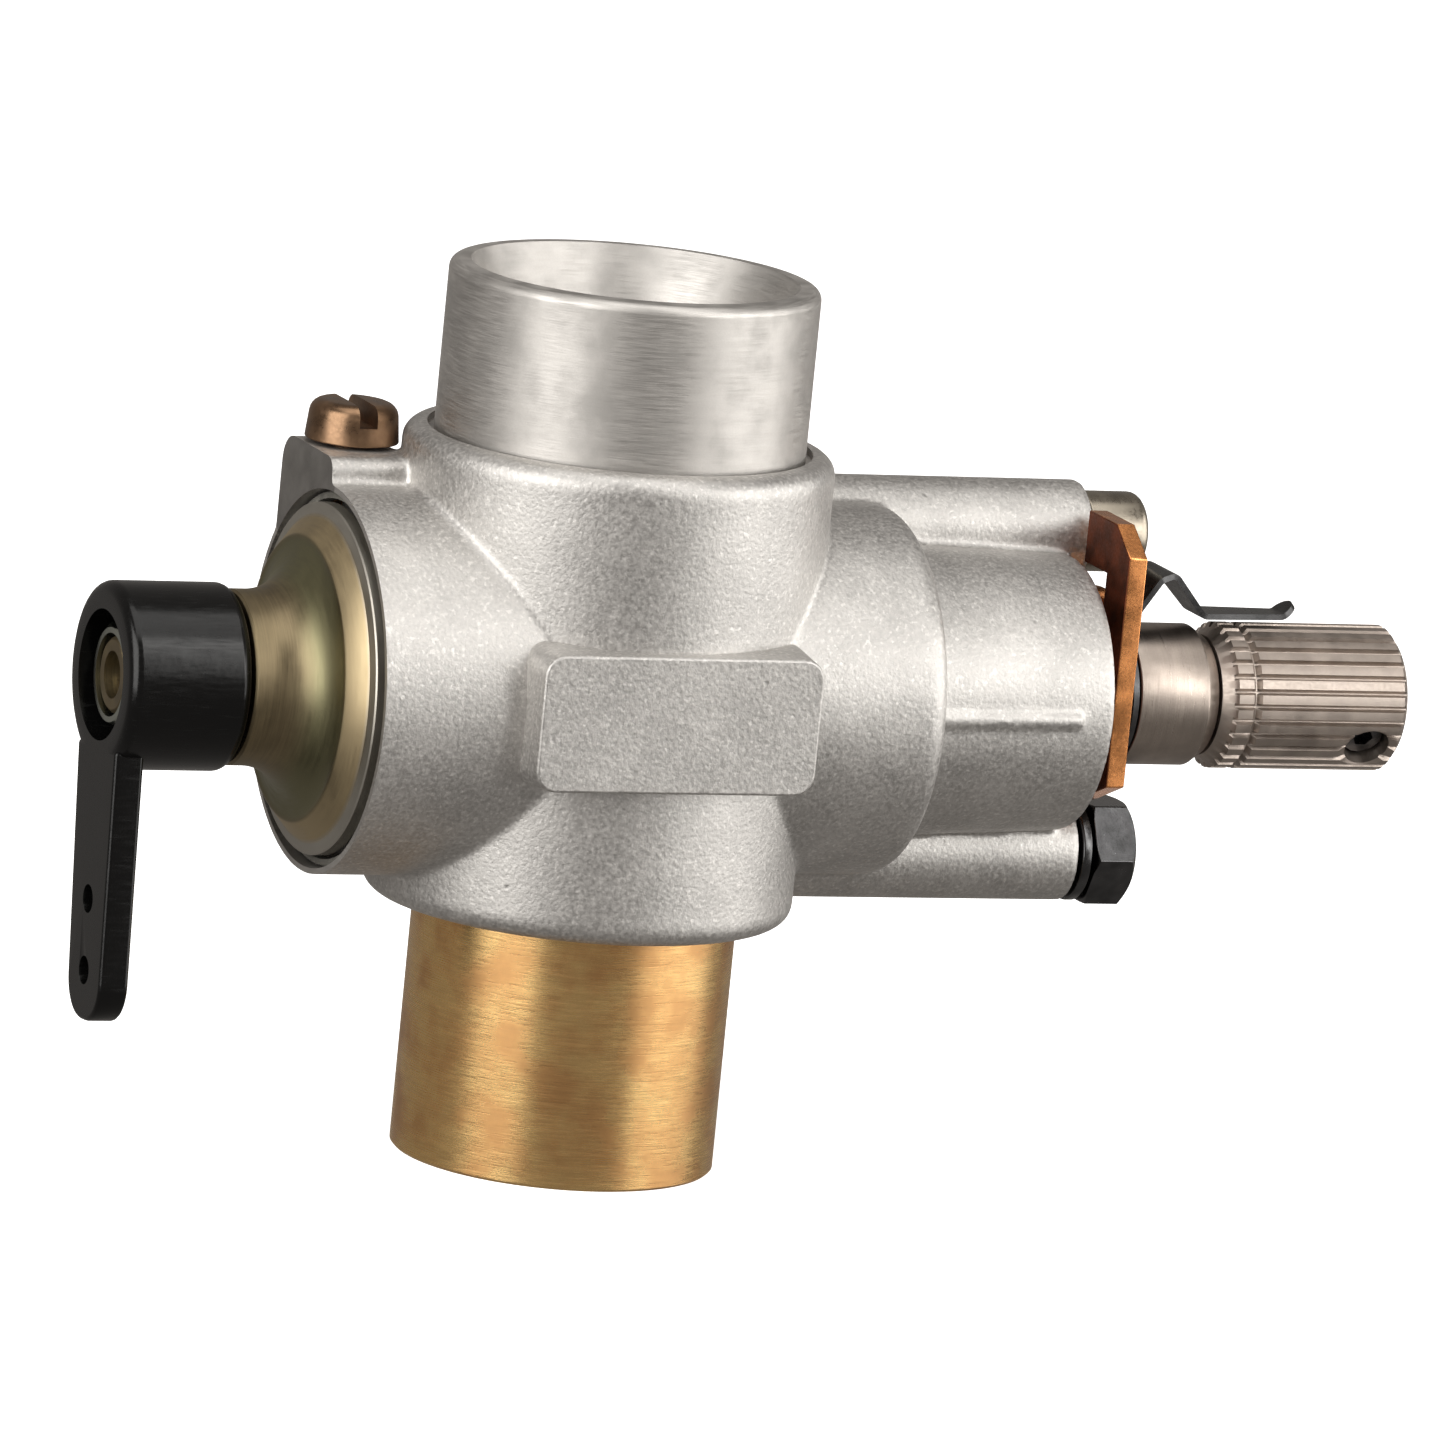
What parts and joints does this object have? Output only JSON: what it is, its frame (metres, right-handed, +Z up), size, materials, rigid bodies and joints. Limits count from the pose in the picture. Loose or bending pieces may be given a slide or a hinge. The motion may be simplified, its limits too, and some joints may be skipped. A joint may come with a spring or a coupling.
{
  "type": "model engine carburettor",
  "caption": "Barrel-type throttle carburettor for a model glow engine: cast body, brass spigot, turning rotor with lever, knurled main needle.",
  "frame": {"origin": "centre of the whole part's box, on the plane of the brass spigot's lower rim", "axes": "+X along the rotor axis from the throttle lever to the needle valve, +Y to the fuel inlet at the back, +Z up the air intake"},
  "size_m": [0.0586, 0.0228, 0.038],
  "materials": {
    "cast_aluminium": "fine cast grain, machined collar",
    "spigot_brass": "turned, satin",
    "zinc_yellow": "yellow-passivated zinc on steel",
    "seal_rubber": "matte",
    "spring_steel": "bright wire",
    "lever_nylon": "moulded, glossy black",
    "nut_steel": "bright",
    "guide_screw_bronze": "brown bronze passivation",
    "needle_brass": "turned",
    "fibre": "fibre gasket",
    "holder_steel": "turned, nickel plated",
    "retainer_copper": "bright copper, polished",
    "washer_brass": "bright",
    "black_steel": "blackened",
    "knob_nickel": "knurled, nickel plated",
    "pin_nickel": "satin"
  },
  "bodies": {
    "housing": {"carburettor_body": "cast_aluminium", "intake_spigot": "spigot_brass", "rotor_spring": "spring_steel", "rotor_guide_screw": "guide_screw_bronze", "spray_nozzle": "needle_brass", "nozzle_gasket": "fibre", "needle_valve_holder": "holder_steel", "holder_gasket": "fibre", "retainer_plate": "retainer_copper", "brass_washer": "washer_brass", "ratchet_spring": "black_steel", "locating_pin": "pin_nickel", "passage_plug": "black_steel", "plug_washer": "black_steel", "fuel_inlet_nipple": "washer_brass", "nipple_gasket": "fibre"},
    "rotor_carriage": {"rotor_dust_seal": "seal_rubber"},
    "throttle": {"throttle_rotor": "zinc_yellow", "throttle_lever": "lever_nylon", "lever_nut": "nut_steel"},
    "idle_seal": {"idle_needle_o_ring": "seal_rubber"},
    "idle_screw": {"idle_needle": "needle_brass"},
    "needle_seal": {"needle_o_ring": "seal_rubber"},
    "main_needle": {"needle_valve": "knob_nickel", "needle_set_screw": "black_steel"}
  },
  "joints": [
    {"name": "throttle_shift", "type": "slide", "parent": "housing", "child": "rotor_carriage", "axis": [1, 0, 0], "range_m": [-0.00059, 0.00059], "deforming": ["rotor_spring"]},
    {"name": "throttle_turn", "type": "hinge", "parent": "rotor_carriage", "child": "throttle", "pos_m": [-0.00715, -0.00168, 0.0204], "axis": [1, 0, 0], "range_deg": [-42, 42]},
    {"name": "idle_needle_shift", "type": "slide", "parent": "throttle", "child": "idle_seal", "axis": [1, 0, 0], "range_m": [-0.0005, 0.0005]},
    {"name": "idle_needle_turn", "type": "hinge", "parent": "idle_seal", "child": "idle_screw", "pos_m": [-0.00715, -0.00168, 0.0204], "axis": [1, 0, 0], "range_deg": [-360.1, 360.1]},
    {"name": "needle_shift", "type": "slide", "parent": "housing", "child": "needle_seal", "axis": [1, 0, 0], "range_m": [0, 0.0015]},
    {"name": "needle_turn", "type": "hinge", "parent": "needle_seal", "child": "main_needle", "pos_m": [-0.00715, -0.00168, 0.0204], "axis": [1, 0, 0], "range_deg": [0, 1080.1]}
  ],
  "couplings": [
    {"joint": "throttle_shift", "follows": "throttle_turn", "m_per_rad": 0.0008},
    {"joint": "idle_needle_turn", "follows": "idle_needle_shift", "rad_per_m": 12566},
    {"joint": "needle_turn", "follows": "needle_shift", "rad_per_m": 12566}
  ]
}
